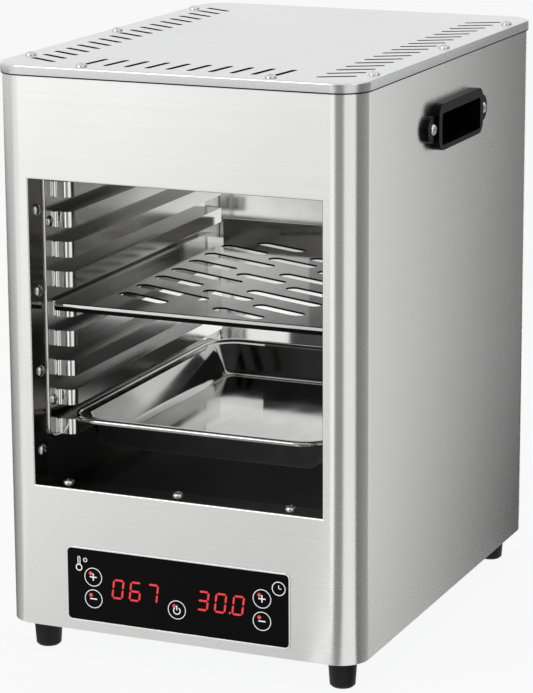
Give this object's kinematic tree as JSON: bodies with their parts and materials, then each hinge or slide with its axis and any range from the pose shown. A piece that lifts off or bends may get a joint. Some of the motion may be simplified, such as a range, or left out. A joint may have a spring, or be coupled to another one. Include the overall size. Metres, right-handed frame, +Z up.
{
  "type": "electric fish roaster",
  "caption": "Free-standing stainless electric roaster with an open front, pressed ledges, a sliding slotted rack, a sliding drip pan, a touch panel and side grips.",
  "frame": {"origin": "on the table, under the middle of the cabinet", "axes": "+Z up, -Y out of the open front, +X to the right when facing the front"},
  "size_m": [0.283, 0.3646, 0.4254],
  "materials": {
    "housing_steel": "brushed stainless sheet",
    "cover_steel": "brushed stainless sheet",
    "polished_steel": "mirror-polished stainless sheet",
    "lining_steel": "bright annealed stainless, darkened by heat",
    "zinc_sheet": "zinc-plated sheet",
    "screw_steel": "polished screw heads",
    "black_plastic": "moulded ABS, satin",
    "rubber": "moulded rubber",
    "panel_glass": "black back-printed glass",
    "board_green": "solder mask over glass-fibre board",
    "part_black": "moulded component cases",
    "part_blue": "moulded relay case",
    "part_yellow": "taped windings",
    "ceramic": "unglazed porcelain beads",
    "mineral_wool": "pressed ceramic-fibre blanket",
    "spring_brass": "plated contact springs",
    "heater_steel": "oxidised heater tube"
  },
  "bodies": {
    "cabinet": {"housing_wrap": "housing_steel", "top_cover": "cover_steel", "cover_screws": "screw_steel", "base_plate": "zinc_sheet", "back_panel": "housing_steel", "back_screws": "screw_steel", "feet": "rubber", "foot_screws": "screw_steel", "chamber_shell": "lining_steel", "chamber_floor": "lining_steel", "chamber_back": "polished_steel", "chamber_legs": "zinc_sheet", "left_runner": "polished_steel", "right_runner": "polished_steel", "runner_screws": "screw_steel", "jamb_screws": "screw_steel", "sill_screws": "screw_steel", "heating_elements": "heater_steel", "element_flanges": "zinc_sheet", "element_clips": "zinc_sheet", "element_terminals": "ceramic", "reflector": "polished_steel", "roof_insulation": "mineral_wool", "side_insulation": "mineral_wool", "back_insulation": "mineral_wool", "temperature_probe": "screw_steel", "thermal_cutout": "part_black", "left_handle": "black_plastic", "right_handle": "black_plastic", "handle_screws": "screw_steel", "panel_bezel": "screw_steel", "control_glass": "panel_glass", "display_housing": "part_black", "display_board": "board_green", "temperature_display": "part_black", "timer_display": "part_black", "touch_springs": "spring_brass", "buzzer": "part_black", "power_board": "board_green", "board_standoffs": "part_black", "relay": "part_blue", "transformer": "part_yellow", "terminal_block": "ceramic", "cord_bushing": "rubber"},
    "rack": {"slotted_rack": "polished_steel"},
    "pan": {"drip_pan": "polished_steel"}
  },
  "joints": [
    {"name": "rack_slide", "type": "slide", "parent": "cabinet", "child": "rack", "axis": [0, -1, 0], "range_m": [0, 0.3]},
    {"name": "pan_slide", "type": "slide", "parent": "cabinet", "child": "pan", "axis": [0, -1, 0], "range_m": [0, 0.3]}
  ]
}
